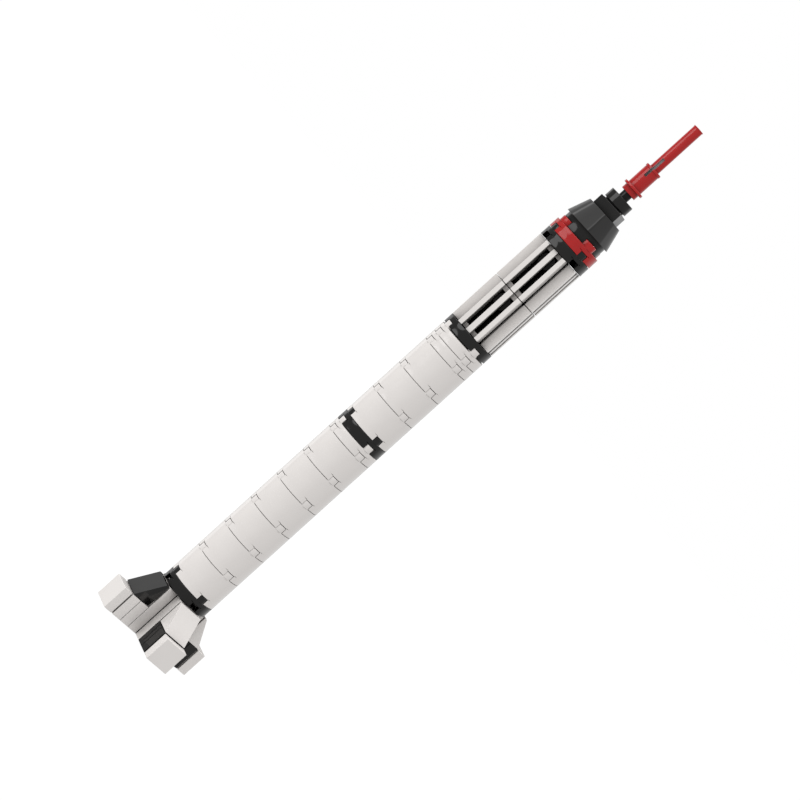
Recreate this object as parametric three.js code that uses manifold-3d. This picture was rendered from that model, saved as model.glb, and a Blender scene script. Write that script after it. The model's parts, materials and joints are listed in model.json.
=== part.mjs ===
// A display rocket put together from small stackable moulded pieces, standing on its four fins.
// Lengths are in millimetres. +Z points up the rocket's axis, the origin is on the axis at the
// surface the rocket stands on, and the four fins lie along +X, +Y, -X and -Y.
import * as THREE from 'three';
import { mergeVertices } from 'three/addons/utils/BufferGeometryUtils.js';
import Module from 'manifold-3d';

// ---------------------------------------------------------------- driving dimensions

// The building system that every piece belongs to.
const PITCH = 8; // from one stud to the next
const PLATE_HEIGHT = 3.2;
const BRICK_HEIGHT = 9.6;
const SIDE_GAP = 0.1; // a piece stops this short of its cell of the grid, on each side
const STUD_RADIUS = 2.4;
const STUD_HEIGHT = 1.6;
const ROOF = 1; // top wall over a hollow underside
const RING_WALL = 1.5; // side wall of a round piece
const TUBE_WALL = 0.75; // wall of the tube in the middle of a round piece
const GROOVE_HEIGHT = 0.35; // finger groove round the foot of a tile
const GROOVE_DEPTH = 0.3;

// Clearances.
const STUD_CLEARANCE = 0.12; // round a stud that is only gripped
const TURN_CLEARANCE = 0.05; // round a stud or post that its piece turns or slides on
const NOTCH_CLEARANCE = 0.14; // round a stud that shows through the rim of a round piece
const STUD_HEADROOM = 0.1; // above a stud
const TURN_GAP = 0.01; // between two faces that turn on each other

// The rocket.
const LOWER_TANK_BRICKS = 6;
const UPPER_TANK_BRICKS = 3;
const ADAPTER_STAGES = 2;
const GRILLE_BAR_WIDTH = 1.6; // middle bar of a grille tile
const GRILLE_LEDGE_HEIGHT = 1.6; // step at each end of a grille's slots
const SLOPE_LIP = 1.6; // thin edge of a slope
const CONE_FOOT_RADIUS = 7;
const CONE_FOOT_HEIGHT = 3.2;
const CONE_BRIM_RADIUS = 7.75;
const CONE_TOP_RADIUS = 5.8;
const POST_RADIUS = 1.55; // bar that the escape tower is pushed on to
const POST_LENGTH = 8;
const POST_SHOWN = 1.9; // how much of the post shows under the tower
const COLLAR_REACH = 0.8; // how far the tower's collar stands out
const COLLAR_HEIGHT = 0.7;
const PIN_LENGTH = 7.1;
const PIN_LIP_REACH = 0.17;
const PIN_LIP_HEIGHT = 0.7;
const BAR_RADIUS = 1.58;
const BAR_LENGTH = 16;
const BAR_FLARE_REACH = 0.15;
const BAR_FLARE_HEIGHT = 0.4;
const SLIT_WIDTH = 0.67; // slit in one side of the escape tower
const SLIT_IN_PIN = 3;
const SLIT_IN_BAR = 3.8;
const SLIT_FLOOR = 0.5; // how near the slit comes to the axis

// How many sides stand in for a circle.
const RIM_SIDES = 24;
const HOLLOW_SIDES = 16;
const TOWER_SIDES = 12;
const STUD_SIDES = 8;

// Sizes that follow from those above.
const CORNER = PITCH / 2;
const STUD_CIRCLE = Math.hypot(CORNER, CORNER);
const SQUARE = PITCH - 2 * SIDE_GAP;
const OBLONG = 2 * PITCH - 2 * SIDE_GAP;
const ROUND_RADIUS = PITCH - SIDE_GAP;
const SOCKET_DEPTH = STUD_HEIGHT + STUD_HEADROOM;
const SOCKET = 2 * (STUD_RADIUS + STUD_CLEARANCE);
const TURNING_SOCKET = 2 * (STUD_RADIUS + TURN_CLEARANCE);
const GRIP_BORE = STUD_CIRCLE - STUD_RADIUS - STUD_CLEARANCE - TUBE_WALL;
const TURNING_BORE = STUD_RADIUS + TURN_CLEARANCE;
const UNDERSIDE_PIN_RADIUS = CORNER - STUD_RADIUS - STUD_CLEARANCE;
const CORE_HEIGHT = 2 * PITCH; // two plates and a stud brick, as tall as a sideways tile is long
const STUD_BRICK_HEIGHT = CORE_HEIGHT - 2 * PLATE_HEIGHT;
const SIDE_STUD_HEIGHT = STUD_BRICK_HEIGHT - CORNER;
const SLOPE_HEIGHT = 2 * PLATE_HEIGHT;
const PIN_TOP = STUD_HEIGHT + COLLAR_HEIGHT + PIN_LENGTH;
const TOWER_HEIGHT = PIN_TOP + BAR_LENGTH;

// ---------------------------------------------------------------- materials

function moulded(color, roughness) {
  return new THREE.MeshStandardMaterial({ color, roughness, metalness: 0 });
}
const white = moulded(0xe9e6e4, 0.32);
const black = moulded(0x232120, 0.24);
const red = moulded(0xb5222a, 0.28);

// ---------------------------------------------------------------- solids

const wasm = await Module();
wasm.setup();

/** The solid inside a closed three.js geometry. */
function solidOf(geometry) {
  geometry.deleteAttribute('normal');
  geometry.deleteAttribute('uv');
  const merged = mergeVertices(geometry);
  return new wasm.Manifold(new wasm.Mesh({
    numProp: 3,
    vertProperties: new Float32Array(merged.attributes.position.array),
    triVerts: new Uint32Array(merged.index.array),
  }));
}

/** Puts the lower end of a geometry at one height and its upper end at another, exactly. */
function between(geometry, from, to) {
  const { position } = geometry.attributes;
  for (let i = 0; i < position.count; i += 1) {
    position.setZ(i, position.getZ(i) < 0 ? from : to);
  }
  return solidOf(geometry);
}

/** A block between two heights, centred on the axis. */
function block(width, length, from, to) {
  return between(new THREE.BoxGeometry(width, length, 1), from, to);
}

/** An upright round bar between two heights. A top radius of its own makes it a cone. */
function drum(radius, from, to, sides, topRadius = radius) {
  const geometry = new THREE.CylinderGeometry(topRadius, radius, 1, sides);
  return between(geometry.rotateX(Math.PI / 2), from, to);
}

/** A round hole whose flats, and not its corners, lie on the circle, so that a bar fits it. */
function bore(radius, from, to, sides) {
  return drum(radius / Math.cos(Math.PI / sides), from, to, sides);
}

/** A stud on a face at the given height. */
function stud(height) {
  return drum(STUD_RADIUS, height, height + STUD_HEIGHT, STUD_SIDES);
}

/** Copies of a solid at the four places where a piece of four studs has them. */
function atCorners(solid) {
  let all = solid.translate([CORNER, CORNER, 0]);
  all = all.add(solid.translate([-CORNER, CORNER, 0]));
  all = all.add(solid.translate([-CORNER, -CORNER, 0]));
  return all.add(solid.translate([CORNER, -CORNER, 0]));
}

/** One named piece of the rocket. */
function piece(name, solid, material) {
  const { vertProperties, triVerts } = solid.getMesh();
  const geometry = new THREE.BufferGeometry();
  geometry.setAttribute('position', new THREE.BufferAttribute(vertProperties, 3));
  geometry.setIndex(new THREE.BufferAttribute(triVerts, 1));
  geometry.computeVertexNormals();
  const mesh = new THREE.Mesh(geometry, material);
  mesh.name = name;
  return mesh;
}

// ---------------------------------------------------------------- kinds of piece
// Each stands on z = 0 with its studs up, centred on the z axis.

/** Cuts the shallow groove round the foot of a square or oblong piece. */
function grooved(solid, length) {
  const around = block(2 * SQUARE, 2 * length, -1, GROOVE_HEIGHT);
  const foot = block(SQUARE - 2 * GROOVE_DEPTH, length - 2 * GROOVE_DEPTH, -2, 1);
  return solid.subtract(around.subtract(foot));
}

function smallPlate(socket = SOCKET) {
  return block(SQUARE, SQUARE, 0, PLATE_HEIGHT)
    .subtract(block(socket, socket, -1, PLATE_HEIGHT - ROOF))
    .add(stud(PLATE_HEIGHT));
}

/** A one-stud brick with a further stud on each of its four sides. */
function studBrick() {
  let solid = block(SQUARE, SQUARE, 0, STUD_BRICK_HEIGHT)
    .subtract(block(SOCKET, SOCKET, -1, STUD_BRICK_HEIGHT - ROOF))
    .add(stud(STUD_BRICK_HEIGHT));
  const sideStud = stud(SQUARE / 2).rotate([0, 90, 0]).translate([0, 0, SIDE_STUD_HEIGHT]);
  for (let side = 0; side < 4; side += 1) {
    solid = solid.add(sideStud.rotate([0, 0, 90 * side]));
  }
  return solid;
}

function oblongPlate() {
  return block(SQUARE, OBLONG, 0, PLATE_HEIGHT)
    .subtract(block(SOCKET, PITCH + SOCKET, -1, PLATE_HEIGHT - ROOF))
    .add(drum(UNDERSIDE_PIN_RADIUS, 0, PLATE_HEIGHT - ROOF / 2, STUD_SIDES))
    .add(stud(PLATE_HEIGHT).translate([0, CORNER, 0]))
    .add(stud(PLATE_HEIGHT).translate([0, -CORNER, 0]));
}

function smallTile() {
  const tile = block(SQUARE, SQUARE, 0, PLATE_HEIGHT);
  return grooved(tile, SQUARE).subtract(block(SOCKET, SOCKET, -1, SOCKET_DEPTH));
}

/** An oblong tile whose face is three bars, with two slots between them that are open below. */
function grilleTile() {
  const inside = block(SOCKET, PITCH + SOCKET, -1, PLATE_HEIGHT + 1);
  const frame = block(SQUARE, OBLONG, 0, PLATE_HEIGHT)
    .subtract(inside)
    .subtract(block(SOCKET, 2 * OBLONG, GRILLE_LEDGE_HEIGHT, PLATE_HEIGHT + 1));
  const barEnds = block(GRILLE_BAR_WIDTH, OBLONG, 0, PLATE_HEIGHT).subtract(inside);
  const bar = block(GRILLE_BAR_WIDTH, OBLONG, SOCKET_DEPTH, PLATE_HEIGHT);
  return grooved(frame.add(barEnds).add(bar), OBLONG);
}

/** A slope that falls from its full height at -Y to a thin lip at +Y. */
function slope() {
  const half = SQUARE / 2;
  const side = new THREE.Shape();
  side.moveTo(-half, 0);
  side.lineTo(half, 0);
  side.lineTo(half, SLOPE_LIP);
  side.lineTo(-half, SLOPE_HEIGHT);
  side.closePath();
  const wedge = new THREE.ExtrudeGeometry(side, { depth: SQUARE, bevelEnabled: false });
  wedge.translate(0, 0, -half);
  wedge.applyMatrix4(ONTO_ITS_SIDE);
  const solid = grooved(solidOf(wedge), SQUARE);
  return solid.subtract(block(SOCKET, SOCKET, -1, SOCKET_DEPTH));
}

/** Hollows a round shell out to the given height, and leaves room for four studs and a tube. */
function undercut(shell, hollow, height, tubeBore) {
  const notch = bore(STUD_RADIUS + NOTCH_CLEARANCE, -1, SOCKET_DEPTH, STUD_SIDES);
  return shell
    .subtract(hollow)
    .add(drum(tubeBore + TUBE_WALL, 0, height + ROOF / 2, STUD_SIDES))
    .subtract(bore(tubeBore, -1, height, STUD_SIDES))
    .subtract(atCorners(notch));
}

/** A round piece of four studs. */
function roundPiece(height, tubeBore = GRIP_BORE) {
  const under = height - ROOF;
  const shell = drum(ROUND_RADIUS, 0, height, RIM_SIDES);
  const hollow = drum(ROUND_RADIUS - RING_WALL, -1, under, HOLLOW_SIDES);
  return undercut(shell, hollow, under, tubeBore).add(atCorners(stud(height)));
}

/** A round plate with a single stud in the middle of a flat top. */
function jumperPlate() {
  const under = PLATE_HEIGHT - ROOF;
  const shell = drum(ROUND_RADIUS - GROOVE_DEPTH, 0, PLATE_HEIGHT, RIM_SIDES)
    .add(drum(ROUND_RADIUS, GROOVE_HEIGHT, PLATE_HEIGHT, RIM_SIDES));
  const hollow = drum(ROUND_RADIUS - RING_WALL, -1, under, HOLLOW_SIDES);
  return undercut(shell, hollow, under, GRIP_BORE).add(stud(PLATE_HEIGHT));
}

/** A blunt cone that overhangs a narrower foot, with one stud on top. */
function noseCone() {
  const under = BRICK_HEIGHT - ROOF;
  const shell = drum(CONE_FOOT_RADIUS, 0, CONE_FOOT_HEIGHT + ROOF, RIM_SIDES)
    .add(drum(CONE_BRIM_RADIUS, CONE_FOOT_HEIGHT, BRICK_HEIGHT, RIM_SIDES, CONE_TOP_RADIUS));
  const hollowTop = CONE_TOP_RADIUS - RING_WALL;
  const hollow = drum(CONE_FOOT_RADIUS - RING_WALL, -1, under, HOLLOW_SIDES, hollowTop);
  return undercut(shell, hollow, under, GRIP_BORE).add(stud(BRICK_HEIGHT));
}

/** A small round tile with an upright post, which turns on the stud below it. */
function postTile() {
  return drum(SQUARE / 2 - GROOVE_DEPTH, 0, PLATE_HEIGHT, TOWER_SIDES)
    .add(drum(SQUARE / 2, GROOVE_HEIGHT, PLATE_HEIGHT, TOWER_SIDES))
    .add(drum(POST_RADIUS, PLATE_HEIGHT - ROOF / 2, PLATE_HEIGHT + POST_LENGTH, STUD_SIDES))
    .subtract(bore(TURNING_BORE, -1, SOCKET_DEPTH, STUD_SIDES));
}

/** A hollow stud, a collar and a pin that carry a long thin bar. */
function escapeTower() {
  const boreDepth = POST_LENGTH - POST_SHOWN + STUD_HEADROOM;
  const slitBack = STUD_RADIUS + COLLAR_REACH;
  const slit = block(SLIT_WIDTH, slitBack, PIN_TOP - SLIT_IN_PIN, PIN_TOP + SLIT_IN_BAR)
    .translate([0, -slitBack / 2 - SLIT_FLOOR, 0]);
  const lipFoot = PIN_TOP - PIN_LIP_HEIGHT;
  const flareFoot = TOWER_HEIGHT - BAR_FLARE_HEIGHT;
  const flareRadius = BAR_RADIUS + BAR_FLARE_REACH;
  return drum(STUD_RADIUS, 0, PIN_TOP - PIN_LIP_HEIGHT / 2, TOWER_SIDES)
    .add(drum(STUD_RADIUS + COLLAR_REACH, STUD_HEIGHT, STUD_HEIGHT + COLLAR_HEIGHT, TOWER_SIDES))
    .add(drum(STUD_RADIUS + PIN_LIP_REACH, lipFoot, PIN_TOP, TOWER_SIDES))
    .add(drum(BAR_RADIUS, lipFoot, flareFoot + BAR_FLARE_HEIGHT / 2, TOWER_SIDES))
    .add(drum(BAR_RADIUS, flareFoot, TOWER_HEIGHT, TOWER_SIDES, flareRadius))
    .subtract(bore(POST_RADIUS + TURN_CLEARANCE, -1, boreDepth, STUD_SIDES))
    .subtract(slit);
}

// ---------------------------------------------------------------- assembly

// Turns a piece so that its studs point along +X and its length points up.
const ONTO_ITS_SIDE = new THREE.Matrix4().makeBasis(
  new THREE.Vector3(0, 1, 0),
  new THREE.Vector3(0, 0, 1),
  new THREE.Vector3(1, 0, 0),
);

/** A group whose pieces stack outwards from the core, facing the given way round the axis. */
function sideways(angle, height) {
  const seat = new THREE.Group();
  seat.quaternion.setFromRotationMatrix(ONTO_ITS_SIDE);
  seat.position.set(CORNER, 0, height);
  const turned = new THREE.Group();
  turned.rotation.z = angle;
  turned.add(seat);
  return { turned, seat };
}

/** Stacks pieces on one another, each given as [name, solid, material, height]. */
function stack(group, level, pieces) {
  let top = level;
  for (const [name, solid, material, height] of pieces) {
    const mesh = piece(name, solid, material);
    mesh.position.z = top;
    group.add(mesh);
    top += height;
  }
  return top;
}

/** The square post of two plates and a stud brick that sideways pieces are pushed on to. */
function core(prefix, lowestPlate) {
  return [
    [`${prefix}_lower_plate`, lowestPlate, black, PLATE_HEIGHT],
    [`${prefix}_upper_plate`, smallPlate(), black, PLATE_HEIGHT],
    [`${prefix}_stud_brick`, studBrick(), black, STUD_BRICK_HEIGHT],
  ];
}

/** A run of equal round bricks, numbered upwards. */
function tank(first, count) {
  const bricks = [];
  for (let number = first; number < first + count; number += 1) {
    bricks.push([`tank_brick_${number}`, roundPiece(BRICK_HEIGHT), white, BRICK_HEIGHT]);
  }
  return bricks;
}

const rocket = new THREE.Group();

// Fin unit: the core, and on each side an oblong plate that carries two plates, a tile and a slope.
const finUnit = new THREE.Group();
const finTop = stack(finUnit, 0, core('fin_core', smallPlate()));
const fins = [
  ['right', 0, black, white],
  ['rear', Math.PI / 2, white, black],
  ['left', Math.PI, white, black],
  ['front', -Math.PI / 2, black, white],
];
for (const [side, angle, plateColour, slopeColour] of fins) {
  const { turned, seat } = sideways(angle, CORE_HEIGHT / 2 - SIDE_GAP);
  seat.add(piece(`${side}_fin_root_plate`, oblongPlate(), white));
  const lower = new THREE.Group();
  lower.position.set(0, -CORNER, PLATE_HEIGHT);
  stack(lower, 0, [
    [`${side}_fin_inner_plate`, smallPlate(), plateColour, PLATE_HEIGHT],
    [`${side}_fin_outer_plate`, smallPlate(), plateColour, PLATE_HEIGHT],
    [`${side}_fin_end_tile`, smallTile(), white, PLATE_HEIGHT],
  ]);
  seat.add(lower);
  const slopePiece = piece(`${side}_fin_slope`, slope(), slopeColour);
  slopePiece.position.set(0, CORNER, PLATE_HEIGHT);
  seat.add(slopePiece);
  finUnit.add(turned);
}
rocket.add(finUnit);

// Everything above the fins is turned an eighth of a turn from them.
const body = new THREE.Group();
body.rotation.z = -Math.PI / 4;
rocket.add(body);

const boosterTop = stack(body, finTop + TURN_GAP, [
  ['tail_ring_plate', roundPiece(PLATE_HEIGHT, TURNING_BORE), black, PLATE_HEIGHT],
  ...tank(1, LOWER_TANK_BRICKS),
  ['lower_tank_cap_plate', roundPiece(PLATE_HEIGHT), white, PLATE_HEIGHT],
  ['middle_band_plate', roundPiece(PLATE_HEIGHT), black, PLATE_HEIGHT],
  ...tank(1 + LOWER_TANK_BRICKS, UPPER_TANK_BRICKS),
  ['upper_tank_cap_plate', roundPiece(PLATE_HEIGHT), white, PLATE_HEIGHT],
  ['shoulder_plate', roundPiece(PLATE_HEIGHT), white, PLATE_HEIGHT],
  ['jumper_plate', jumperPlate(), black, PLATE_HEIGHT],
]);

// Adapter: a square core that turns on the jumper's stud, behind four grille tiles a stage.
const grilles = [
  ['starboard', 0],
  ['back', Math.PI / 2],
  ['port', Math.PI],
  ['face', -Math.PI / 2],
];
let adapterTop = boosterTop + TURN_GAP;
for (let stage = 1; stage <= ADAPTER_STAGES; stage += 1) {
  const lowestPlate = smallPlate(stage === 1 ? TURNING_SOCKET : SOCKET);
  for (const [side, angle] of grilles) {
    const { turned, seat } = sideways(angle, adapterTop + CORE_HEIGHT / 2);
    seat.add(piece(`${side}_grille_${stage}`, grilleTile(), white));
    body.add(turned);
  }
  adapterTop = stack(body, adapterTop, core(`adapter_core_${stage}`, lowestPlate));
}

// Capsule, and the pieces above it, each of which turns on the stud below.
const capsuleTop = stack(body, adapterTop + TURN_GAP, [
  ['capsule_base_plate', roundPiece(PLATE_HEIGHT, TURNING_BORE), black, PLATE_HEIGHT],
  ['capsule_red_plate', roundPiece(PLATE_HEIGHT), red, PLATE_HEIGHT],
  ['capsule_cone', noseCone(), black, BRICK_HEIGHT],
]);
const noseTop = stack(body, capsuleTop + TURN_GAP, [
  ['nose_plate', smallPlate(TURNING_SOCKET), black, PLATE_HEIGHT],
]);
const postTop = stack(body, noseTop + TURN_GAP, [
  ['post_tile', postTile(), black, PLATE_HEIGHT],
]);
stack(body, postTop + POST_SHOWN, [
  ['escape_tower', escapeTower(), red, TOWER_HEIGHT],
]);

export default rocket;
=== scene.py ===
import json
import math

import bmesh
import bpy
from mathutils import Matrix, Vector


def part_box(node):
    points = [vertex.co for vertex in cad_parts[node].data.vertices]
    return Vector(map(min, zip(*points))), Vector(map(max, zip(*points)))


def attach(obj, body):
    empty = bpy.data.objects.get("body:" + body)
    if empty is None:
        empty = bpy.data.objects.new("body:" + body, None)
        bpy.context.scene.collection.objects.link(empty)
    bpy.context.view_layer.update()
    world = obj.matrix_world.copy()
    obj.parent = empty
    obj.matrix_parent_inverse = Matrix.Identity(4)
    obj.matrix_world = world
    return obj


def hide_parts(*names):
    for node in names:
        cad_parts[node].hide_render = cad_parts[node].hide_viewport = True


# A display rocket of small stackable moulded pieces. Each piece is made in millimetres, standing on
# z = 0 with its studs up and centred on the z axis, and is then put in its place in metres.

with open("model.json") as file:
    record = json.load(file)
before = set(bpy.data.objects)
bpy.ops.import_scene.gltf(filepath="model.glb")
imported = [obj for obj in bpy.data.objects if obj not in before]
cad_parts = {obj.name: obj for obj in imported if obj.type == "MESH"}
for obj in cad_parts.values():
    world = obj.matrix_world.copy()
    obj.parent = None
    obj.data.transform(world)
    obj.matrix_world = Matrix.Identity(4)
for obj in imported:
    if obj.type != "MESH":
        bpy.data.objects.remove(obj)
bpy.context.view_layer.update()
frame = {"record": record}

# ---------------------------------------------------------------- sizes, in millimetres

MM = 0.001

# The building system, as in the CAD model.
PITCH = 8
PLATE_HEIGHT = 3.2
BRICK_HEIGHT = 9.6
SIDE_GAP = 0.1
STUD_RADIUS = 2.4
STUD_HEIGHT = 1.6
ROOF = 1
RING_WALL = 1.5
TUBE_WALL = 0.75
GROOVE_HEIGHT = 0.35
STUD_CLEARANCE = 0.12
TURN_CLEARANCE = 0.05
STUD_HEADROOM = 0.1

CORNER = PITCH / 2
STUD_CIRCLE = math.hypot(CORNER, CORNER)
SQUARE = PITCH - 2 * SIDE_GAP
OBLONG = 2 * PITCH - 2 * SIDE_GAP
ROUND_RADIUS = PITCH - SIDE_GAP
CORE_HEIGHT = 2 * PITCH
STUD_BRICK_HEIGHT = CORE_HEIGHT - 2 * PLATE_HEIGHT
SOCKET_DEPTH = STUD_HEIGHT + STUD_HEADROOM
SOCKET = 2 * (STUD_RADIUS + STUD_CLEARANCE)
GRIP_BORE = STUD_CIRCLE - STUD_RADIUS - STUD_CLEARANCE - TUBE_WALL
TURNING_BORE = STUD_RADIUS + TURN_CLEARANCE
TUBE_RADIUS = GRIP_BORE + TUBE_WALL

# Moulded detail that the CAD model leaves plain or makes simpler.
EDGE = 0.12  # radius of an outer edge
SHOWN_STUD_RADIUS = 2.37  # a little less than in the CAD model
STUD_EDGE = 0.15  # radius of a stud's edge
SEAM = 0.12  # how far the edge of a top face stays below the piece that stands on it
SEAM_REACH = 0.7  # how far in from the side that groove goes
SEATED = 0.01  # how far the rest of a top face stays below it
NOTCH_RADIUS = 2.52  # of the opening round a stud that shows through the rim of a round piece
NOTCH_EDGE = 0.1  # thickness that the rim keeps at the sides of a notch
NOTCH_LIP = 0.05  # edge radius along the top of a notch
NOTCH_HEADROOM = 0.16  # gap between a stud and the top of its notch
FLARE = 0.035  # how far the foot of a round wall stands out
FLARE_HEIGHT = 1.7
FLARE_STEPS = 4
GROOVE_DEPTH = 0.6  # of the groove round the foot of a tile, twice that of the CAD model
MARK_HEIGHT = 0.16  # the fine line that runs on from the top of a notch
MARK_DEPTH = 0.2
MARK_END = math.radians(20)  # where that line has faded out

NOTCH_TOP = STUD_HEIGHT + NOTCH_HEADROOM

# Grille tile.
GRILLE_BAR_WIDTH = 1.6
GRILLE_LEDGE_HEIGHT = 1.6

# Slope.
SLOPE_HEIGHT = 2 * PLATE_HEIGHT
SLOPE_LIP = 1.27  # thinner than in the CAD model
SLOPE_NOTCH_HEIGHT = 1.8
SLOPE_NOTCH_LENGTH = 2.2
SLOPE_NOTCH_DEPTH = 0.7

# Cone.
CONE_FOOT_RADIUS = 7
CONE_FOOT_HEIGHT = 3.2
CONE_BRIM_RADIUS = 7.75
CONE_TOP_RADIUS = 5.8

# Post and escape tower. The bar is a little thinner than in the CAD model, and the slit is wider and
# not as deep.
POST_RADIUS = 1.55
POST_LENGTH = 8
POST_SHOWN = 1.9
COLLAR_RADIUS = STUD_RADIUS + 0.8
COLLAR_HEIGHT = 0.7
PIN_TOP = STUD_HEIGHT + COLLAR_HEIGHT + 7.1
PIN_LIP_RADIUS = STUD_RADIUS + 0.17
PIN_LIP_HEIGHT = 0.7
BAR_RADIUS = 1.55
BAR_TOP = PIN_TOP + 16
BAR_FLARE_RADIUS = BAR_RADIUS + 0.15
BAR_FLARE_HEIGHT = 0.4
SLIT_WIDTH = 0.82
SLIT_BOTTOM = PIN_TOP - 3
SLIT_TOP = PIN_TOP + 3.8
SLIT_FLOOR = 1  # distance of the slit's floor from the axis
SLIT_SHADE_INDEX = 1  # place of the slit's painted shade material among the escape tower's two, counted from 0

# ---------------------------------------------------------------- how finely the surfaces are made

RIM_STEP = math.radians(3)
STUD_STEPS = 48
CORNER_STEPS = 4  # in a rounded corner of a profile
CORNER_SHARE = 0.45  # the most of a side that one rounded corner takes
THIN_EDGE_SHARE = 0.4  # the most of a thin rim that the rounding of its foot takes
BEVEL_STEPS = 3
WELD = 1e-4
SHARP = math.radians(40)
CUT = 1  # how far a cutting tool runs past the face that it opens


# ---------------------------------------------------------------- meshes

def finished(work):
    """Turns a working mesh into a closed mesh whose faces point out."""
    bmesh.ops.remove_doubles(work, verts=work.verts, dist=WELD)
    bmesh.ops.dissolve_degenerate(work, edges=work.edges, dist=WELD)
    bmesh.ops.recalc_face_normals(work, faces=work.faces)
    mesh = bpy.data.meshes.new("solid")
    work.to_mesh(mesh)
    work.free()
    return mesh


def swept(columns, closed):
    """The solid inside columns of points that go round the z axis. Closed columns are loops, and
    the others start and end on the axis."""
    work = bmesh.new()
    rows = [[work.verts.new(point) for point in column] for column in columns]
    for here, after in zip(rows, rows[1:] + rows[:1]):
        for i in range(len(here) if closed else len(here) - 1):
            j = (i + 1) % len(here)
            work.faces.new((here[i], here[j], after[j], after[i]))
    return finished(work)


def column(profile, angle):
    """The points (radius, height) of a profile, at one angle round the axis."""
    return [(r * math.cos(angle), r * math.sin(angle), z) for r, z in profile]


def lathe(profile):
    """A profile that starts and ends on the axis, turned round it."""
    turns = [2 * math.pi * step / STUD_STEPS for step in range(STUD_STEPS)]
    return swept([column(profile, angle) for angle in turns], closed=False)


def eased(profile, edge):
    """Rounds each corner of a profile except its two ends."""
    points = [Vector(point) for point in profile]
    rounded = [points[0]]
    for before, corner, after in zip(points, points[1:], points[2:]):
        sides = (before - corner).length, (after - corner).length
        reach = min(edge, CORNER_SHARE * min(sides))
        start = corner + reach * (before - corner).normalized()
        end = corner + reach * (after - corner).normalized()
        for step in range(CORNER_STEPS + 1):
            share = step / CORNER_STEPS
            first, second = start.lerp(corner, share), corner.lerp(end, share)
            rounded.append(first.lerp(second, share))
    rounded.append(points[-1])
    return rounded


def prism(outline, width):
    """An outline in the y-z plane, thickened along x."""
    work = bmesh.new()
    sides = [[work.verts.new((x, y, z)) for y, z in outline] for x in (-width / 2, width / 2)]
    work.faces.new(sides[0])
    work.faces.new(sides[1][::-1])
    for i in range(len(outline)):
        j = (i + 1) % len(outline)
        work.faces.new((sides[0][i], sides[0][j], sides[1][j], sides[1][i]))
    return work


def bevelled(work, edge):
    """Rounds every edge of a working mesh, unless the radius is 0."""
    bmesh.ops.recalc_face_normals(work, faces=work.faces)
    if edge:
        bmesh.ops.bevel(
            work, geom=work.edges[:], offset=edge, segments=BEVEL_STEPS, profile=0.5, affect="EDGES"
        )
    return finished(work)


def block(width, length, low, high, edge=EDGE, at=(0, 0)):
    """A block with rounded edges between two heights, centred on the axis or at another place."""
    half = length / 2
    work = prism([(-half, low), (half, low), (half, high), (-half, high)], width)
    bmesh.ops.translate(work, verts=work.verts, vec=(*at, 0))
    return bevelled(work, edge)


def combined(operation, first, others):
    """Joins solids to the first one, or cuts them from it."""
    scene = bpy.context.scene
    base = bpy.data.objects.new("base", first)
    scene.collection.objects.link(base)
    tools = []
    for mesh in others:
        tool = bpy.data.objects.new("tool", mesh)
        scene.collection.objects.link(tool)
        tools.append(tool)
        step = base.modifiers.new("step", "BOOLEAN")
        step.operation = operation
        step.solver = "MANIFOLD"
        step.object = tool
    graph = bpy.context.evaluated_depsgraph_get()
    result = bpy.data.meshes.new_from_object(base.evaluated_get(graph))
    result.materials.clear()
    for used in [base, *tools]:
        bpy.data.objects.remove(used)
    return result


def joined(first, *others):
    return combined("UNION", first, others)


def cut(first, *others):
    return combined("DIFFERENCE", first, others)


def moved(mesh, matrix):
    """A copy of a mesh in another place."""
    copy = mesh.copy()
    copy.transform(matrix)
    return copy


# ---------------------------------------------------------------- kinds of piece

def stud(height, at=(0, 0)):
    """A stud whose foot is just inside a top face at the given height."""
    foot_height = height - SEAM - EDGE
    top = height + STUD_HEIGHT
    radius = SHOWN_STUD_RADIUS
    profile = [(0, foot_height), (radius, foot_height), (radius, top), (0, top)]
    return moved(lathe(eased(profile, STUD_EDGE)), Matrix.Translation((*at, 0)))


def notch_reach(outer):
    """How far round the axis a stud's opening spreads, where it meets the given radius."""
    opposite = outer**2 + STUD_CIRCLE**2 - NOTCH_RADIUS**2
    return math.acos(opposite / (2 * outer * STUD_CIRCLE))


def wall_inside(offset, inner, outer):
    """Inner radius of a rim at an angle from the nearest stud, where the stud's opening thins it."""
    across = STUD_CIRCLE * math.sin(offset)
    if abs(across) >= NOTCH_RADIUS:
        return inner
    opening = STUD_CIRCLE * math.cos(offset) + math.sqrt(NOTCH_RADIUS**2 - across**2)
    return min(max(inner, opening), outer - NOTCH_EDGE)


def spread(start, end):
    """Angles from start to end, no further apart than the rim's step."""
    count = math.ceil((end - start) / RIM_STEP)
    return [start + (end - start) * i / count for i in range(count + 1)]


def rim_angles(outer, inner):
    """(angle, angle from the nearest stud, in a notch) all the way round a rim with four notches."""
    edge = notch_reach(outer)
    thin_end = notch_reach(inner)
    marks = sorted({edge, max(edge, MARK_END), max(edge, thin_end), math.pi / 4})
    half = [a for start, end in zip(marks, marks[1:]) for a in spread(start, end)]
    places = []
    for quarter in range(4):
        middle = quarter * math.pi / 2
        places += [(middle + a, a, True) for a in spread(-edge, edge)]
        places += [(middle + a, a, False) for a in half]
        places += [(middle + math.pi / 2 - a, a, False) for a in reversed(half)]
    return places


def flared(outer, low=0):
    """Points up the foot of a round wall, which stands out a little. None is below the given height."""
    points = []
    for step in range(1, FLARE_STEPS + 1):
        height = FLARE_HEIGHT * (step / FLARE_STEPS)
        radius = outer - FLARE + FLARE * (1 - height / FLARE_HEIGHT) ** 2
        points.append(Vector((radius, max(height, low))))
    return points


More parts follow.
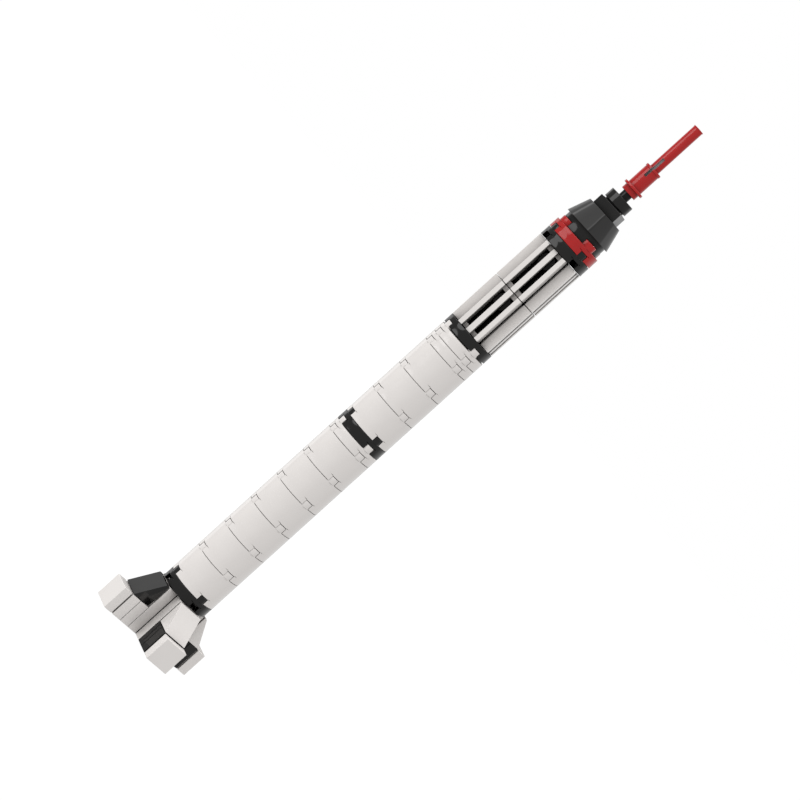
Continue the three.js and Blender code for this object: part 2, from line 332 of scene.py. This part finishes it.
def rim_foot(outer, inner, offset, in_notch):
    """Profile up the outside of a rim to just above its notches, from its inner wall. It has as many
    points in a notch as beside it."""
    waist = outer - FLARE
    fade = max(0, (MARK_END - abs(offset)) / (MARK_END - notch_reach(outer)))
    mark = [
        Vector((waist, NOTCH_TOP)),
        Vector((waist - MARK_DEPTH * fade, NOTCH_TOP + MARK_HEIGHT / 2)),
        Vector((waist, NOTCH_TOP + MARK_HEIGHT)),
    ]
    wall = flared(outer)
    if in_notch:
        lip = NOTCH_TOP + NOTCH_LIP
        foot = eased([(inner, NOTCH_TOP), (waist, NOTCH_TOP), (waist, lip + NOTCH_LIP)], NOTCH_LIP)
        return foot[:-1] + [Vector((waist, lip))] * len(wall + mark)
    thin = wall_inside(offset, inner, outer)
    edge = min(EDGE, THIN_EDGE_SHARE * (outer - thin))
    foot = eased([(thin, 0), (outer, 0), wall[0]], edge)
    return foot[:-1] + wall + mark


def round_shell(height, tube_bore):
    """A round piece of four studs, without the studs."""
    under = height - ROOF
    inner = ROUND_RADIUS - RING_WALL
    seat = ROUND_RADIUS - SEAM_REACH
    top = height - SEAM
    tube_radius = tube_bore + TUBE_WALL
    columns = []
    for angle, offset, in_notch in rim_angles(ROUND_RADIUS, inner):
        foot = rim_foot(ROUND_RADIUS, inner, offset, in_notch)
        shoulder = eased([foot[-1], (foot[-1].x, top), (seat, top)], EDGE)[1:]
        inside = [
            (seat, height - SEATED),
            (tube_bore, height - SEATED),
            (tube_bore, 0),
            (tube_radius, 0),
            (tube_radius, under),
            (inner, under),
            (inner, NOTCH_TOP),
            (foot[0].x, NOTCH_TOP),
        ]
        columns.append(column([*foot, *shoulder, *inside], angle))
    return swept(columns, closed=True)


def round_piece(height, tube_bore=GRIP_BORE):
    """A round piece with four studs that stand over its rim."""
    places = [(STUD_CIRCLE, 0), (0, STUD_CIRCLE), (-STUD_CIRCLE, 0), (0, -STUD_CIRCLE)]
    return joined(round_shell(height, tube_bore), *[stud(height, at) for at in places])


def underside(under, wall, top_wall):
    """Profile of a hollow underside with a tube, from the inner foot of the rim to the axis."""
    return [
        (wall, NOTCH_TOP),
        (top_wall, under),
        (TUBE_RADIUS, under),
        (TUBE_RADIUS, 0),
        (GRIP_BORE, 0),
        (GRIP_BORE, under),
        (0, under),
    ]


def jumper_plate():
    """A round plate with a single stud in the middle of a flat top, and a groove round its foot."""
    inner = ROUND_RADIUS - RING_WALL
    under = PLATE_HEIGHT - ROOF
    neck = ROUND_RADIUS - GROOVE_DEPTH
    top = PLATE_HEIGHT
    columns = []
    for angle, offset, in_notch in rim_angles(ROUND_RADIUS, inner):
        low = NOTCH_TOP if in_notch else 0
        groove = NOTCH_TOP if in_notch else GROOVE_HEIGHT
        thin = inner if in_notch else min(wall_inside(offset, inner, ROUND_RADIUS), neck - NOTCH_EDGE)
        outside = [
            (thin, low),
            (neck, low),
            (neck, groove),
            (ROUND_RADIUS, groove),
            *flared(ROUND_RADIUS, groove),
            (ROUND_RADIUS - FLARE, top),
            (STUD_RADIUS, top),
            (STUD_RADIUS, top + STUD_HEIGHT),
            (0, top + STUD_HEIGHT),
        ]
        profile = underside(under, inner, inner)[::-1] + [(thin, NOTCH_TOP)]
        columns.append(column(profile + eased(outside, EDGE), angle))
    return swept(columns, closed=False)


def nose_cone():
    """A blunt cone that overhangs a narrower foot, with one stud on top."""
    inner = CONE_FOOT_RADIUS - RING_WALL
    under = BRICK_HEIGHT - ROOF
    columns = []
    for angle, offset, in_notch in rim_angles(CONE_FOOT_RADIUS, inner):
        low = NOTCH_TOP if in_notch else 0
        thin = inner if in_notch else wall_inside(offset, inner, CONE_FOOT_RADIUS)
        outside = [
            (thin, low),
            (CONE_FOOT_RADIUS, low),
            *flared(CONE_FOOT_RADIUS, low),
            (CONE_FOOT_RADIUS - FLARE, CONE_FOOT_HEIGHT),
            (CONE_BRIM_RADIUS, CONE_FOOT_HEIGHT),
            (CONE_TOP_RADIUS, BRICK_HEIGHT),
            (STUD_RADIUS, BRICK_HEIGHT),
            (STUD_RADIUS, BRICK_HEIGHT + STUD_HEIGHT),
            (0, BRICK_HEIGHT + STUD_HEIGHT),
        ]
        profile = underside(under, inner, CONE_TOP_RADIUS - RING_WALL)[::-1] + [(thin, NOTCH_TOP)]
        columns.append(column(profile + eased(outside, EDGE), angle))
    return swept(columns, closed=False)


def studded_block(length, height):
    """A block as wide as one stud, whose top is lower round its edge, where the next piece stands."""
    seat = block(SQUARE - 2 * SEAM_REACH, length - 2 * SEAM_REACH, height - ROOF, height - SEATED, 0)
    return joined(block(SQUARE, length, 0, height - SEAM), seat)


def small_plate(socket=SOCKET):
    body = studded_block(SQUARE, PLATE_HEIGHT)
    hollow = block(socket, socket, -CUT, PLATE_HEIGHT - ROOF, 0)
    return joined(cut(body, hollow), stud(PLATE_HEIGHT))


def stud_brick():
    """A one-stud brick with a further stud on each of its four sides."""
    body = studded_block(SQUARE, STUD_BRICK_HEIGHT)
    hollow = block(SOCKET, SOCKET, -CUT, STUD_BRICK_HEIGHT - ROOF, 0)
    height = Matrix.Translation((0, 0, STUD_BRICK_HEIGHT - CORNER))
    side = moved(stud(SQUARE / 2), height @ Matrix.Rotation(math.pi / 2, 4, "Y"))
    sides = [moved(side, Matrix.Rotation(turn * math.pi / 2, 4, "Z")) for turn in range(4)]
    return joined(cut(body, hollow), stud(STUD_BRICK_HEIGHT), *sides)


def oblong_plate():
    body = studded_block(OBLONG, PLATE_HEIGHT)
    hollow = block(SOCKET, PITCH + SOCKET, -CUT, PLATE_HEIGHT - ROOF, 0)
    pin_radius = CORNER - STUD_RADIUS - STUD_CLEARANCE
    pin_top = PLATE_HEIGHT - ROOF / 2
    pin = lathe([(0, 0), (pin_radius, 0), (pin_radius, pin_top), (0, pin_top)])
    studs = [stud(PLATE_HEIGHT, (0, side)) for side in (-CORNER, CORNER)]
    return joined(cut(body, hollow), pin, *studs)


def foot(length):
    """The narrow foot below the groove of a square or oblong tile."""
    inset = 2 * GROOVE_DEPTH
    return block(SQUARE - inset, length - inset, 0, GROOVE_HEIGHT + EDGE, 0)


def small_tile():
    body = joined(block(SQUARE, SQUARE, GROOVE_HEIGHT, PLATE_HEIGHT), foot(SQUARE))
    return cut(body, block(SOCKET, SOCKET, -CUT, SOCKET_DEPTH, 0))


def grille_tile():
    """An oblong tile whose face is three bars, with two slots between them that are open below."""
    wall = (SQUARE - SOCKET) / 2
    aside = (SQUARE - wall) / 2
    beyond = (OBLONG - wall) / 2
    inside = PITCH + SOCKET
    ring = cut(foot(OBLONG), block(SOCKET, inside, -CUT, SOCKET_DEPTH, 0))
    parts = [block(wall, OBLONG, GROOVE_HEIGHT, PLATE_HEIGHT, at=(x, 0)) for x in (-aside, aside)]
    parts.append(block(GRILLE_BAR_WIDTH, OBLONG, SOCKET_DEPTH, PLATE_HEIGHT))
    for y in (-beyond, beyond):
        parts.append(block(SQUARE - EDGE, wall, GROOVE_HEIGHT, GRILLE_LEDGE_HEIGHT, at=(0, y)))
        parts.append(block(GRILLE_BAR_WIDTH, wall, GROOVE_HEIGHT, PLATE_HEIGHT, at=(0, y)))
    return joined(ring, *parts)


def slope():
    """A slope that falls from its full height at -Y to a thin lip at +Y, with a small notch in the
    foot of one side."""
    half = SQUARE / 2
    outline = [(-half, GROOVE_HEIGHT), (half, GROOVE_HEIGHT), (half, SLOPE_LIP), (-half, SLOPE_HEIGHT)]
    body = joined(bevelled(prism(outline, SQUARE), EDGE), foot(SQUARE))
    place = (half, SLOPE_NOTCH_LENGTH / 2 - half)
    notch = block(2 * SLOPE_NOTCH_DEPTH, SLOPE_NOTCH_LENGTH, -CUT, SLOPE_NOTCH_HEIGHT, 0, place)
    return cut(body, block(SOCKET, SOCKET, -CUT, SOCKET_DEPTH, 0), notch)


def post_tile():
    """A small round tile with an upright post, which turns on the stud below it."""
    radius = SQUARE / 2
    top = PLATE_HEIGHT
    inside = [(0, SOCKET_DEPTH), (TURNING_BORE, SOCKET_DEPTH), (TURNING_BORE, 0)]
    outside = [
        (TURNING_BORE, 0),
        (radius - GROOVE_DEPTH, 0),
        (radius - GROOVE_DEPTH, GROOVE_HEIGHT),
        (radius, GROOVE_HEIGHT),
        (radius, top),
        (POST_RADIUS, top),
        (POST_RADIUS, top + POST_LENGTH),
        (0, top + POST_LENGTH),
    ]
    return lathe(inside + eased(outside, EDGE))


def escape_tower():
    """A hollow stud, a collar and a pin that carry a long thin bar, with a slit in one side."""
    socket = POST_RADIUS + TURN_CLEARANCE
    depth = POST_LENGTH - POST_SHOWN + STUD_HEADROOM
    collar_top = STUD_HEIGHT + COLLAR_HEIGHT
    inside = [(0, depth), (socket, depth)]
    outside = [
        (socket, 0),
        (STUD_RADIUS, 0),
        (STUD_RADIUS, STUD_HEIGHT),
        (COLLAR_RADIUS, STUD_HEIGHT),
        (COLLAR_RADIUS, collar_top),
        (STUD_RADIUS, collar_top),
        (STUD_RADIUS, PIN_TOP - PIN_LIP_HEIGHT),
        (PIN_LIP_RADIUS, PIN_TOP - PIN_LIP_HEIGHT),
        (PIN_LIP_RADIUS, PIN_TOP),
        (BAR_RADIUS, PIN_TOP),
        (BAR_RADIUS, BAR_TOP - BAR_FLARE_HEIGHT),
        (BAR_FLARE_RADIUS, BAR_TOP),
        (0, BAR_TOP),
    ]
    body = lathe(inside + eased(outside, EDGE))
    place = (0, -COLLAR_RADIUS / 2 - SLIT_FLOOR)
    slit = block(SLIT_WIDTH, COLLAR_RADIUS, SLIT_BOTTOM, SLIT_TOP, 0, place)
    tower = cut(body, slit)
    # The faces inside the slit take the second material, a grey that paints the shade inside the slit.
    for face in tower.polygons:
        x, y, z = face.center
        between = abs(x) < SLIT_WIDTH / 2 + WELD and SLIT_BOTTOM - WELD < z < SLIT_TOP + WELD
        if between and y < WELD - SLIT_FLOOR:
            face.material_index = SLIT_SHADE_INDEX
    return tower


# ---------------------------------------------------------------- materials, with lengths in metres

# Sockets of a Mix node that mixes colours.
MIX_FIRST = 6
MIX_SECOND = 7
MIX_RESULT = 2

FLOW_SCALE = 140
POLISH_SCALE = 900
WAVE_SCALE = 210
WAVE_HEIGHT = 0.0004
SCUFF_SCALE = 5200
SCUFF_HEIGHT = 0.00002
SCUFF_STRENGTH = 0.05
RUBBED_FROM = 0.52  # pointiness at which an edge starts to look rubbed
RUBBED_TO = 0.62
CREVICE_REACH = 0.008  # how near another surface has to be for this one to take painted shade: darker colour and less gloss
CREVICE_RAYS = 12
CREVICE_CLOSED = 0.1  # openness at which the painted shade in a crevice is at its fullest
CREVICE_OPEN = 0.95
GLOSS = 0.5  # specular level where nothing is near; painted shade lowers it in crevices
PLASTIC_IOR = 1.53


def node(tree, kind, **settings):
    """A new shader node. Settings name its properties, or its inputs by label."""
    made = tree.nodes.new(kind)
    for name, value in settings.items():
        if hasattr(made, name):
            setattr(made, name, value)
        else:
            made.inputs[name.replace("_", " ")].default_value = value
    return made


def noise(tree, coordinates, scale, detail):
    made = node(tree, "ShaderNodeTexNoise", Scale=scale, Detail=detail)
    tree.links.new(coordinates, made.inputs["Vector"])
    return made.outputs["Fac"]


def ranged(tree, value, low, high, from_low=0.3, from_high=0.7):
    """Carries a value from one range to another."""
    made = node(tree, "ShaderNodeMapRange")
    made.inputs["From Min"].default_value = from_low
    made.inputs["From Max"].default_value = from_high
    made.inputs["To Min"].default_value = low
    made.inputs["To Max"].default_value = high
    tree.links.new(value, made.inputs["Value"])
    return made.outputs["Result"]


def blended(tree, share, first, second):
    """A colour between two, where the share says. A colour is a value or another node's output."""
    made = node(tree, "ShaderNodeMix", data_type="RGBA")
    tree.links.new(share, made.inputs["Factor"])
    for socket, colour in ((made.inputs[MIX_FIRST], first), (made.inputs[MIX_SECOND], second)):
        if isinstance(colour, bpy.types.NodeSocket):
            tree.links.new(colour, socket)
        else:
            socket.default_value = (*colour, 1)
    return made.outputs[MIX_RESULT]


def bumped(tree, height, strength, distance, normal=None):
    made = node(tree, "ShaderNodeBump", Strength=strength, Distance=distance)
    tree.links.new(height, made.inputs["Height"])
    if normal:
        tree.links.new(normal, made.inputs["Normal"])
    return made.outputs["Normal"]


def moulded(name, pale, deep, worn, painted_crevice_shade, roughness, waviness):
    """Glossy moulded plastic: a faint flow of colour, edges rubbed paler, crevices painted darker and
    less glossy as shade, a polish that varies a little, and a surface with gentle waves and fine scuffs."""
    material = bpy.data.materials.new(name)
    material.use_nodes = True
    tree = material.node_tree
    shader = tree.nodes["Principled BSDF"]
    place = node(tree, "ShaderNodeTexCoord").outputs["Object"]
    flow = ranged(tree, noise(tree, place, FLOW_SCALE, detail=3), 0, 1)
    colour = blended(tree, flow, deep, pale)
    pointiness = node(tree, "ShaderNodeNewGeometry").outputs["Pointiness"]
    edges = ranged(tree, pointiness, 0, 1, RUBBED_FROM, RUBBED_TO)
    worn_colour = blended(tree, edges, colour, worn)
    # Painted shade: where other surfaces are near, ambient occlusion darkens the colour towards the
    # crevice shade colour.
    occlusion = node(tree, "ShaderNodeAmbientOcclusion", samples=CREVICE_RAYS, Distance=CREVICE_REACH)
    unshaded_share = ranged(tree, occlusion.outputs["AO"], 0, 1, CREVICE_CLOSED, CREVICE_OPEN)
    tree.links.new(blended(tree, unshaded_share, painted_crevice_shade, worn_colour), shader.inputs["Base Color"])
    # The same painted shade lowers the specular level in crevices.
    tree.links.new(ranged(tree, unshaded_share, 0, GLOSS, 0, 1), shader.inputs["Specular IOR Level"])
    polish = ranged(tree, noise(tree, place, POLISH_SCALE, detail=4), *roughness)
    tree.links.new(polish, shader.inputs["Roughness"])
    waves = bumped(tree, noise(tree, place, WAVE_SCALE, detail=1), waviness, WAVE_HEIGHT)
    scuff_pattern = noise(tree, place, SCUFF_SCALE, detail=3)
    scuffs = bumped(tree, scuff_pattern, SCUFF_STRENGTH, SCUFF_HEIGHT, waves)
    tree.links.new(scuffs, shader.inputs["Normal"])
    shader.inputs["IOR"].default_value = PLASTIC_IOR
    return material


# The fourth colour of each finish is painted shade: the colour that its crevices darken to.
MATERIALS = {
    "white_plastic": moulded(
        "white_plastic",
        pale=(0.83, 0.795, 0.77),
        deep=(0.80, 0.765, 0.742),
        worn=(0.84, 0.805, 0.78),
        painted_crevice_shade=(0.18, 0.17, 0.162),
        roughness=(0.1, 0.18),
        waviness=0.2,
    ),
    "black_plastic": moulded(
        "black_plastic",
        pale=(0.007, 0.0066, 0.0062),
        deep=(0.006, 0.0056, 0.0052),
        worn=(0.009, 0.0086, 0.0082),
        painted_crevice_shade=(0.001, 0.001, 0.001),
        roughness=(0.05, 0.1),
        waviness=0.15,
    ),
    "red_plastic": moulded(
        "red_plastic",
        pale=(0.47, 0.0125, 0.0125),
        deep=(0.43, 0.0105, 0.0105),
        worn=(0.52, 0.03, 0.03),
        painted_crevice_shade=(0.12, 0.003, 0.003),
        roughness=(0.08, 0.15),
        waviness=0.15,
    ),
}
# Painted shade: a flat grey put on the inside of the escape tower's slit, where shade falls.
SLIT_SHADE_MATERIAL = moulded(
    "slit_painted_shade",
    pale=(0.31, 0.29, 0.29),
    deep=(0.27, 0.25, 0.25),
    worn=(0.31, 0.29, 0.29),
    painted_crevice_shade=(0.27, 0.25, 0.25),
    roughness=(0.3, 0.4),
    waviness=0.1,
)

# ---------------------------------------------------------------- assembly

SLOTS = {part["node"]: part["material_slot"] for part in frame["record"]["subparts"]}
BODIES = {name: body for body, names in frame["record"]["behaviour"]["bodies"].items() for name in names}
EIGHTH = math.pi / 4
TANK_BRICKS = 9

# Turns a piece so that its studs point along +X and its length points up.
ONTO_ITS_SIDE = Matrix(((0, 0, 1, 0), (1, 0, 0, 0), (0, 1, 0, 0), (0, 0, 0, 1)))


def put(name, mesh, place):
    """Puts a piece made in millimetres in its place, where it stands for its CAD node."""
    shown = mesh.copy()
    shown.transform(Matrix.Scale(MM, 4))
    shown.materials.append(MATERIALS[SLOTS[name]])
    # The escape tower also carries the painted shade of its slit.
    if name == "escape_tower":
        shown.materials.append(SLIT_SHADE_MATERIAL)
    shown.shade_smooth()
    shown.set_sharp_from_angle(angle=SHARP)
    piece = bpy.data.objects.new(f"{name}_moulding", shown)
    bpy.context.scene.collection.objects.link(piece)
    piece.matrix_world = place
    shading = piece.modifiers.new("shading", "WEIGHTED_NORMAL")
    shading.keep_sharp = True
    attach(piece, BODIES[name])
    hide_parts(name)


def upright(name, mesh, turn=0.0):
    """Stands a piece on the axis, at the height where its CAD node starts."""
    foot_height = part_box(name)[0].z
    put(name, mesh, Matrix.Translation((0, 0, foot_height)) @ Matrix.Rotation(turn, 4, "Z"))


def sideways(name, mesh, angle, reach):
    """Puts a piece on its side, with its foot at a distance from the axis."""
    low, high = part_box(name)
    middle = (low.z + high.z) / 2
    outwards = Matrix.Rotation(angle, 4, "Z") @ Matrix.Translation((reach * MM, 0, middle))
    put(name, mesh, outwards @ ONTO_ITS_SIDE)


def build_core(prefix, turn, lowest_plate, plate, brick):
    upright(f"{prefix}_lower_plate", lowest_plate, turn)
    upright(f"{prefix}_upper_plate", plate, turn)
    upright(f"{prefix}_stud_brick", brick, turn)


def build_fins(plate, brick):
    build_core("fin_core", 0, plate, plate, brick)
    root, tile, wedge = oblong_plate(), small_tile(), slope()
    for side, quarter in (("right", 0), ("rear", 1), ("left", 2), ("front", 3)):
        angle = quarter * math.pi / 2
        sideways(f"{side}_fin_root_plate", root, angle, CORNER)
        sideways(f"{side}_fin_inner_plate", plate, angle, CORNER + PLATE_HEIGHT)
        sideways(f"{side}_fin_outer_plate", plate, angle, CORNER + 2 * PLATE_HEIGHT)
        sideways(f"{side}_fin_end_tile", tile, angle, CORNER + 3 * PLATE_HEIGHT)
        sideways(f"{side}_fin_slope", wedge, angle, CORNER + PLATE_HEIGHT)


def build_booster(ring):
    upright("tail_ring_plate", round_piece(PLATE_HEIGHT, TURNING_BORE))
    brick = round_piece(BRICK_HEIGHT)
    for number in range(1, TANK_BRICKS + 1):
        upright(f"tank_brick_{number}", brick)
    for name in ("lower_tank_cap_plate", "middle_band_plate", "upper_tank_cap_plate", "shoulder_plate"):
        upright(name, ring)
    upright("jumper_plate", jumper_plate())


def build_adapter(plate, brick):
    turning_plate = small_plate(2 * TURNING_BORE)
    grille = grille_tile()
    for stage, lowest_plate in ((1, turning_plate), (2, plate)):
        build_core(f"adapter_core_{stage}", EIGHTH, lowest_plate, plate, brick)
        for side, eighths in (("face", -3), ("starboard", -1), ("back", 1), ("port", 3)):
            sideways(f"{side}_grille_{stage}", grille, eighths * EIGHTH, CORNER)


def build_capsule(ring):
    upright("capsule_base_plate", round_piece(PLATE_HEIGHT, TURNING_BORE))
    upright("capsule_red_plate", ring)
    upright("capsule_cone", nose_cone())
    upright("nose_plate", small_plate(2 * TURNING_BORE), EIGHTH)
    upright("post_tile", post_tile())
    upright("escape_tower", escape_tower(), -EIGHTH)


# ---------------------------------------------------------------- camera, floor and light, in metres

CAMERA_AIM_HEIGHT = 0.0954  # of the point on the rocket's axis that the camera looks at
CAMERA_DISTANCE = 0.7681
CAMERA_AZIMUTH = math.radians(-32.44)
CAMERA_ELEVATION = math.radians(4.544)
CAMERA_ROLL = math.radians(47.844)
CAMERA_LENS = 128.08  # on a sensor 36 mm wide
CAMERA_NEAR = 0.05


def build_camera():
    data = bpy.data.cameras.new("camera")
    data.lens = CAMERA_LENS
    data.clip_start = CAMERA_NEAR
    camera = bpy.data.objects.new("camera", data)
    bpy.context.scene.collection.objects.link(camera)
    camera.matrix_world = (
        Matrix.Translation((0, 0, CAMERA_AIM_HEIGHT))
        @ Matrix.Rotation(CAMERA_AZIMUTH, 4, "Z")
        @ Matrix.Rotation(math.pi / 2 - CAMERA_ELEVATION, 4, "X")
        @ Matrix.Rotation(CAMERA_ROLL, 4, "Z")
        @ Matrix.Translation((0, 0, CAMERA_DISTANCE))
    )
    bpy.context.scene.camera = camera


FLOOR_RADIUS = 3
FLOOR_STEPS = 96
FLOOR_DROP = 0.0002  # how far it lies below the rocket's foot
FLOOR_SHADE = 0.06  # how much of the floor's brightness a shadow can take


def build_floor():
    """A plain white floor that glows nearly as bright as the backdrop, so that only a faint shadow
    shows on it. Only the camera sees it: it lights nothing and isn't reflected."""
    work = bmesh.new()
    bmesh.ops.create_circle(work, cap_ends=True, segments=FLOOR_STEPS, radius=FLOOR_RADIUS)
    mesh = bpy.data.meshes.new("floor")
    work.to_mesh(mesh)
    work.free()
    material = bpy.data.materials.new("floor_paper")
    material.use_nodes = True
    tree = material.node_tree
    shader = tree.nodes["Principled BSDF"]
    shader.inputs["Base Color"].default_value = (FLOOR_SHADE, FLOOR_SHADE, FLOOR_SHADE, 1)
    shader.inputs["Roughness"].default_value = 1
    shader.inputs["Specular IOR Level"].default_value = 0
    shader.inputs["Emission Color"].default_value = (1, 1, 1, 1)
    shader.inputs["Emission Strength"].default_value = 1 - FLOOR_SHADE / 2
    mesh.materials.append(material)
    floor = bpy.data.objects.new("floor", mesh)
    bpy.context.scene.collection.objects.link(floor)
    floor.location.z = -FLOOR_DROP
    floor.visible_diffuse = False
    floor.visible_glossy = False
    floor.visible_shadow = False


def arithmetic(tree, operation, first, second):
    made = node(tree, "ShaderNodeMath", operation=operation)
    for socket, value in zip(made.inputs, (first, second)):
        if isinstance(value, bpy.types.NodeSocket):
            tree.links.new(value, socket)
        else:
            socket.default_value = value
    return made.outputs[0]


def ramp(tree, value, stops):
    """Brightness that changes with a value from 0 to 1, by stops of (value, brightness)."""
    made = node(tree, "ShaderNodeValToRGB")
    elements = made.color_ramp.elements
    while len(elements) < len(stops):
        elements.new(0.5)
    for element, (position, level) in zip(elements, stops):
        element.position = position
        element.color = (level, level, level, 1)
    tree.links.new(value, made.inputs["Fac"])
    return made.outputs["Color"]


LIGHT_BASE = 0.9
LIGHT_SLOPE = (-0.21, 0.2, 0.42)  # how the soft light grows towards +X, +Y and +Z
BRIGHTEST = 2.2  # a ramp holds shares of this
BOX_BEARING = math.radians(3.5)  # of the soft box's middle, from -X towards -Y
BOX_HALF_WIDTH = math.radians(20.5)
BOX_HEIGHT = math.sin(math.radians(4.6))
BOX_HALF_HEIGHT = math.sin(math.radians(6.8))
BOX_LEAN = math.radians(3)  # how far the soft box's top leans over
BOX_CORE = 0.9  # where the soft box starts to fade, as a squared share of its half size
BOX_RIM = 1.1  # where it has faded out
LEVEL_RING_TOP = 0.6  # height, from 0 straight down to 1 straight up, where the level ring ends
UPPER_RING_FOOT = 0.64
WHITE = (1, 1, 1)


def ring(*stops):
    """Stops of (bearing from +X towards +Y in degrees, share of the brightest light), as places from
    0 to 1 round the horizon, where both ends are towards -X."""
    return [(((degrees + 180) % 360) / 360, level) for degrees, level in stops]


LEVEL_RING = ring(
    (-180, 0.19),
    (-20, 0.19),
    (-8, 0.28),
    (6, 0.34),
    (30, 0.37),
    (46, 0.3),
    (54, 0.04),
    (61, 0.04),
    (69, 0.32),
    (90, 0.34),
    (106, 0.56),
    (116, 0.15),
    (138, 0.16),
    (179, 0.19),
)
UPPER_RING = ring(
    (-180, 0.54),
    (-129, 0.58),
    (-122, 1.0),
    (-119, 0.26),
    (-108, 0.36),
    (-42, 0.36),
    (-34, 0.58),
    (0, 0.42),
    (100, 0.34),
    (126, 0.4),
    (130, 1.0),
    (138, 1.0),
    (143, 0.55),
)


def build_light():
    """Light that depends on the kind of ray. The camera sees a plain white backdrop. The gloss
    reflects rings of large soft boxes and dark flags. All other rays meet a soft light that grows
    upwards, to the left and to the rear."""
    world = bpy.data.worlds.new("studio")
    bpy.context.scene.world = world
    world.use_nodes = True
    tree = world.node_tree
    tree.nodes.clear()
    direction = node(tree, "ShaderNodeTexCoord").outputs["Generated"]
    parts = node(tree, "ShaderNodeSeparateXYZ")
    tree.links.new(direction, parts.inputs[0])
    x, y, z = parts.outputs

    soft = LIGHT_BASE
    for part, slope_share in zip((x, y, z), LIGHT_SLOPE):
        soft = arithmetic(tree, "ADD", soft, arithmetic(tree, "MULTIPLY", part, slope_share))

    turn = arithmetic(tree, "ARCTAN2", y, x)
    around = arithmetic(tree, "ADD", arithmetic(tree, "DIVIDE", turn, 2 * math.pi), 0.5)
    level_ring = ramp(tree, around, LEVEL_RING)
    upper_ring = ramp(tree, around, UPPER_RING)
    height = arithmetic(tree, "ADD", arithmetic(tree, "MULTIPLY", z, 0.5), 0.5)
    rise = ramp(tree, height, [(0, 0), (LEVEL_RING_TOP, 0), (UPPER_RING_FOOT, 1), (1, 1)])
    rings = blended(tree, rise, level_ring, upper_ring)

    # The lower soft box is an oval, low over the horizon towards -X.
    frontwards = arithmetic(tree, "MULTIPLY", y, -1)
    leftwards = arithmetic(tree, "MULTIPLY", x, -1)
    from_left = arithmetic(tree, "ARCTAN2", frontwards, leftwards)
    up = arithmetic(tree, "DIVIDE", arithmetic(tree, "SUBTRACT", z, BOX_HEIGHT), BOX_HALF_HEIGHT)
    leaning = arithmetic(tree, "SUBTRACT", from_left, arithmetic(tree, "MULTIPLY", up, BOX_LEAN))
    across = arithmetic(tree, "DIVIDE", arithmetic(tree, "SUBTRACT", leaning, BOX_BEARING), BOX_HALF_WIDTH)
    out = arithmetic(tree, "ADD", arithmetic(tree, "POWER", across, 2), arithmetic(tree, "POWER", up, 2))
    box = ranged(tree, out, 1, 0, BOX_CORE, BOX_RIM)
    lit = blended(tree, box, rings, WHITE)
    gloss = node(tree, "ShaderNodeVectorMath", operation="SCALE")
    tree.links.new(lit, gloss.inputs[0])
    gloss.inputs["Scale"].default_value = BRIGHTEST

    kind = node(tree, "ShaderNodeLightPath").outputs
    seen = blended(tree, kind["Is Glossy Ray"], soft, gloss.outputs[0])
    backdrop = blended(tree, kind["Is Camera Ray"], seen, WHITE)
    background = node(tree, "ShaderNodeBackground")
    tree.links.new(backdrop, background.inputs["Color"])
    output = node(tree, "ShaderNodeOutputWorld")
    tree.links.new(background.outputs[0], output.inputs["Surface"])
    # The world isn't sampled as a lamp, so light comes only by scattered rays, whose kind is known.
    world.cycles.sampling_method = "NONE"


build_camera()
build_floor()
build_light()
bpy.context.scene.view_settings.view_transform = "Standard"

square_plate = small_plate()
square_brick = stud_brick()
ring_plate = round_piece(PLATE_HEIGHT)
build_fins(square_plate, square_brick)
build_booster(ring_plate)
build_adapter(square_plate, square_brick)
build_capsule(ring_plate)
